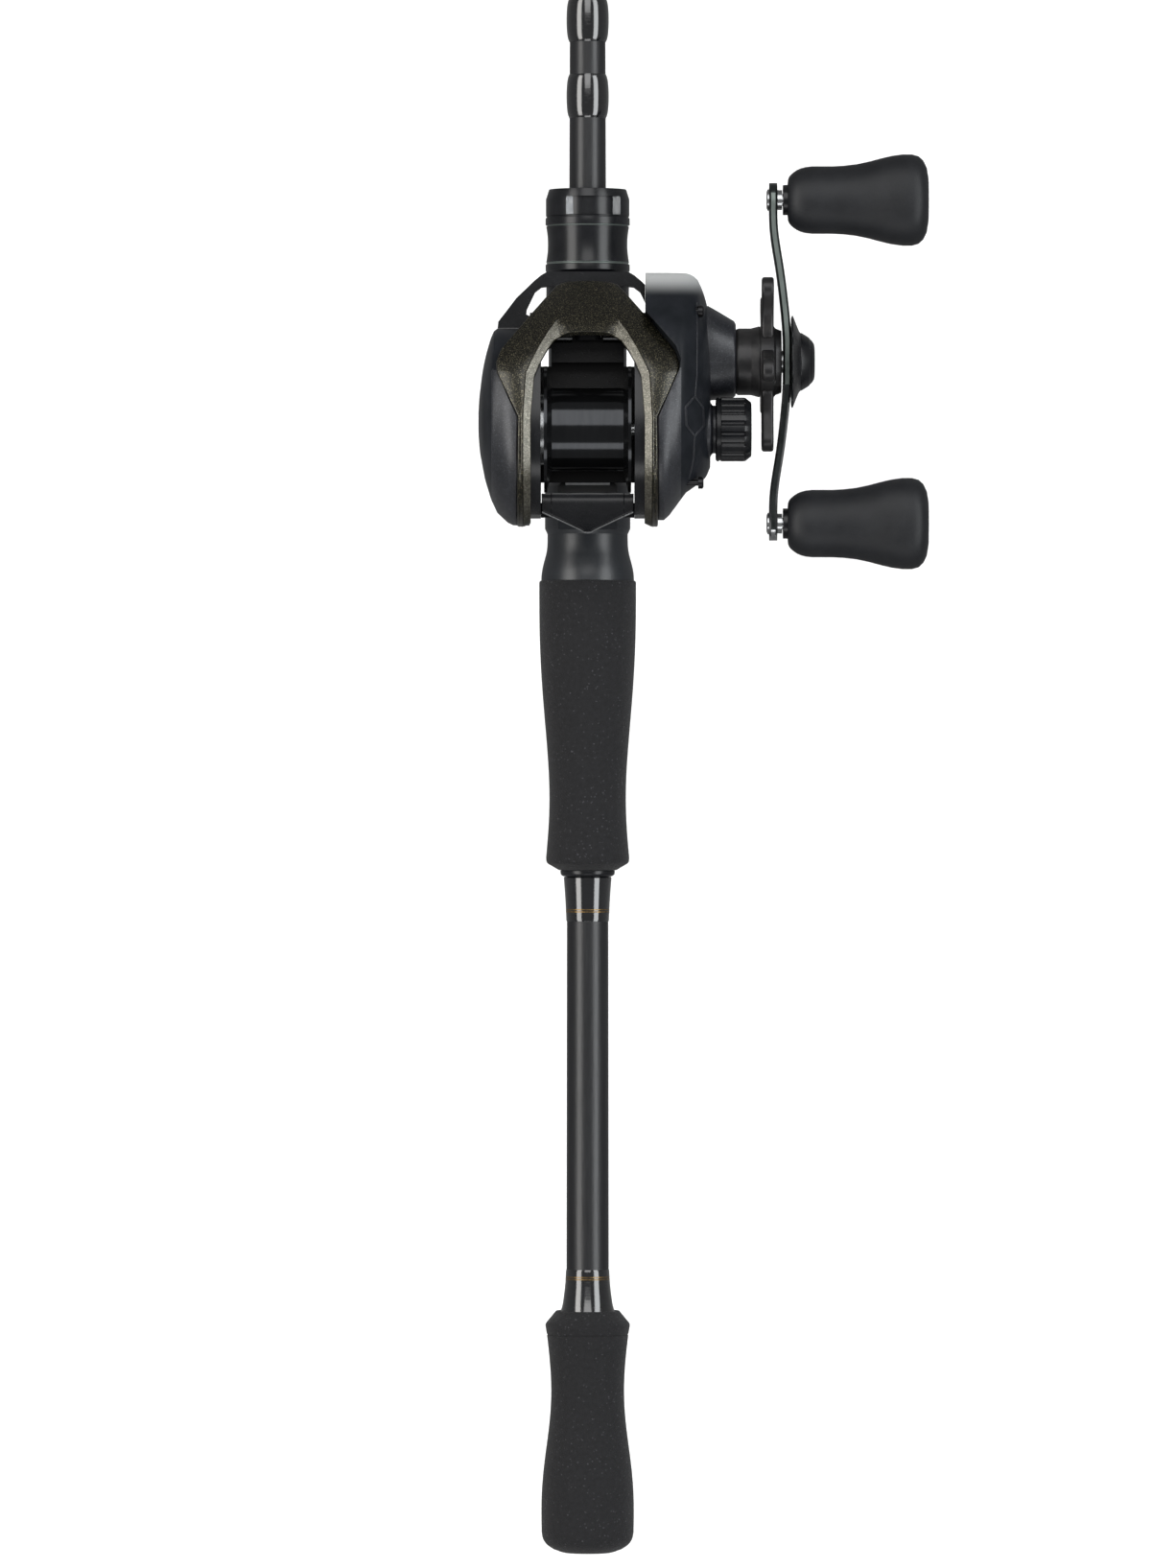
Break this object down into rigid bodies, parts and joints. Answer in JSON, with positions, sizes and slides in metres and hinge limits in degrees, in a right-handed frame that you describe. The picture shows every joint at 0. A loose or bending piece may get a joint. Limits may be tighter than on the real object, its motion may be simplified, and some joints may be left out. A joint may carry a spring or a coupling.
{
  "type": "baitcasting rod and reel",
  "caption": "One-piece casting rod with foam grips, trigger seat and ring guides, carrying a low-profile reel with a double-knob crank.",
  "frame": {"origin": "centre of the butt grip's end face, on the rod's axis", "axes": "+Y along the rod to its tip, +Z to the side that the reel and the guides stand on, +X to the crank's side"},
  "size_m": [0.1214, 2.032, 0.0797],
  "materials": {
    "carbon_blank": "clear-coated woven carbon",
    "foam": "closed-cell foam",
    "foam_trim": "moulded trim",
    "seat_black": "satin moulded nylon",
    "thread_coat": "thread under clear resin",
    "dark_alloy": "dark anodised",
    "guide_frame": "black-plated steel",
    "guide_ring": "polished ceramic",
    "bronze_paint": "bronze metal-flake paint",
    "graphite_shell": "charcoal satin paint",
    "black_shell": "black satin paint",
    "spool_alloy": "black anodised",
    "steel": "bare",
    "brass_gear": "machined",
    "drag_fibre": "carbon fibre washers",
    "white_plastic": "moulded",
    "knob_rubber": "soft-touch"
  },
  "bodies": {
    "rod_and_reel": {"rod_blank": "carbon_blank", "butt_grip": "foam", "butt_grip_ring": "foam_trim", "rear_grip": "foam", "rear_check": "foam_trim", "seat_arbor": "drag_fibre", "reel_seat": "seat_black", "keeper_base": "guide_frame", "thread_wraps": "thread_coat", "guide_1": "guide_frame", "guide_2": "guide_frame", "guide_3": "guide_frame", "guide_4": "guide_frame", "guide_5": "guide_frame", "guide_6": "guide_frame", "guide_7": "guide_frame", "guide_8": "guide_frame", "tip_top": "guide_frame", "guide_inserts": "guide_ring", "reel_frame": "black_shell", "reel_foot": "steel", "top_cover": "bronze_paint", "gear_plate": "graphite_shell", "gear_bulkhead": "black_shell", "gear_plate_screws": "steel", "roller_clutch": "steel", "spool_bearing": "steel", "guide_rail": "steel"},
    "hood": {"seat_hood": "seat_black"},
    "nut": {"lock_nut": "seat_black"},
    "keeper": {"keeper_ring": "guide_frame"},
    "palm_cover": {"palm_plate": "graphite_shell", "palm_bearing": "steel", "brake_drum": "steel"},
    "crank": {"drive_shaft": "steel", "drive_gear": "brass_gear", "idler_gear": "white_plastic", "drag_washers": "drag_fibre", "handle_arm": "dark_alloy", "handle_nut": "steel", "nut_retainer": "black_shell", "knob_posts": "steel"},
    "spool_unit": {"spool": "spool_alloy", "spool_shaft": "steel", "brake_collar": "white_plastic", "brake_weights": "white_plastic"},
    "drag_star": {"star_drag": "dark_alloy"},
    "front_knob": {"knob_a": "knob_rubber"},
    "rear_knob": {"knob_b": "knob_rubber"},
    "cast_control": {"cast_control_knob": "dark_alloy"},
    "thumb": {"thumb_bar": "graphite_shell"},
    "yoke": {"clutch_yoke": "white_plastic"},
    "pinion": {"pinion_gear": "brass_gear"},
    "worm": {"worm_shaft": "steel", "worm_gear": "white_plastic"},
    "carriage": {"line_guide": "black_shell", "line_guide_insert": "guide_ring"}
  },
  "joints": [
    {"name": "hood_slide", "type": "slide", "parent": "rod_and_reel", "child": "hood", "axis": [0, 1, 0], "range_m": [0, 0.01125]},
    {"name": "nut_turn", "type": "hinge", "parent": "hood", "child": "nut", "pos_m": [0, 0.358, 0], "axis": [0, 1, 0], "range_deg": [0, 2700]},
    {"name": "keeper_fold", "type": "hinge", "parent": "rod_and_reel", "child": "keeper", "pos_m": [0, 0.4046, -0.00648], "axis": [1, 0, 0], "range_deg": [-150, 0]},
    {"name": "palm_cover_slide", "type": "slide", "parent": "rod_and_reel", "child": "palm_cover", "axis": [-1, 0, 0], "range_m": [0, 0.035]},
    {"name": "crank_turn", "type": "hinge", "parent": "rod_and_reel", "child": "crank", "pos_m": [0, 0.3225, 0.022], "axis": [1, 0, 0], "continuous": true},
    {"name": "spool_turn", "type": "hinge", "parent": "rod_and_reel", "child": "spool_unit", "pos_m": [0, 0.304, 0.03], "axis": [1, 0, 0], "continuous": true},
    {"name": "worm_turn", "type": "hinge", "parent": "rod_and_reel", "child": "worm", "pos_m": [0, 0.329, 0.0175], "axis": [1, 0, 0], "continuous": true},
    {"name": "star_drag_turn", "type": "hinge", "parent": "crank", "child": "drag_star", "pos_m": [0.048, 0.3225, 0.022], "axis": [1, 0, 0], "range_deg": [-180, 180]},
    {"name": "front_knob_turn", "type": "hinge", "parent": "crank", "child": "front_knob", "pos_m": [0.07, 0.3661, 0.022], "axis": [1, 0, 0], "continuous": true},
    {"name": "rear_knob_turn", "type": "hinge", "parent": "crank", "child": "rear_knob", "pos_m": [0.07, 0.2789, 0.022], "axis": [1, 0, 0], "continuous": true},
    {"name": "cast_control_turn", "type": "hinge", "parent": "rod_and_reel", "child": "cast_control", "pos_m": [0.039, 0.304, 0.03], "axis": [1, 0, 0], "range_deg": [-180, 180]},
    {"name": "thumb_bar_press", "type": "slide", "parent": "rod_and_reel", "child": "thumb", "axis": [0, 0, -1], "range_m": [0, 0.004]},
    {"name": "clutch_yoke_slide", "type": "slide", "parent": "rod_and_reel", "child": "yoke", "axis": [1, 0, 0], "range_m": [0, 0.0018]},
    {"name": "pinion_turn", "type": "hinge", "parent": "yoke", "child": "pinion", "pos_m": [0.022, 0.304, 0.03], "axis": [1, 0, 0], "continuous": true},
    {"name": "level_wind_slide", "type": "slide", "parent": "rod_and_reel", "child": "carriage", "axis": [1, 0, 0], "range_m": [-0.0065, 0.0065]}
  ],
  "couplings": [
    {"joint": "nut_turn", "follows": "hood_slide", "rad_per_m": 4188.8},
    {"joint": "spool_turn", "follows": "crank_turn", "ratio": -7.2},
    {"joint": "worm_turn", "follows": "crank_turn", "ratio": -1.5},
    {"joint": "pinion_turn", "follows": "crank_turn", "ratio": -7.2},
    {"joint": "clutch_yoke_slide", "follows": "thumb_bar_press", "ratio": 0.45}
  ]
}
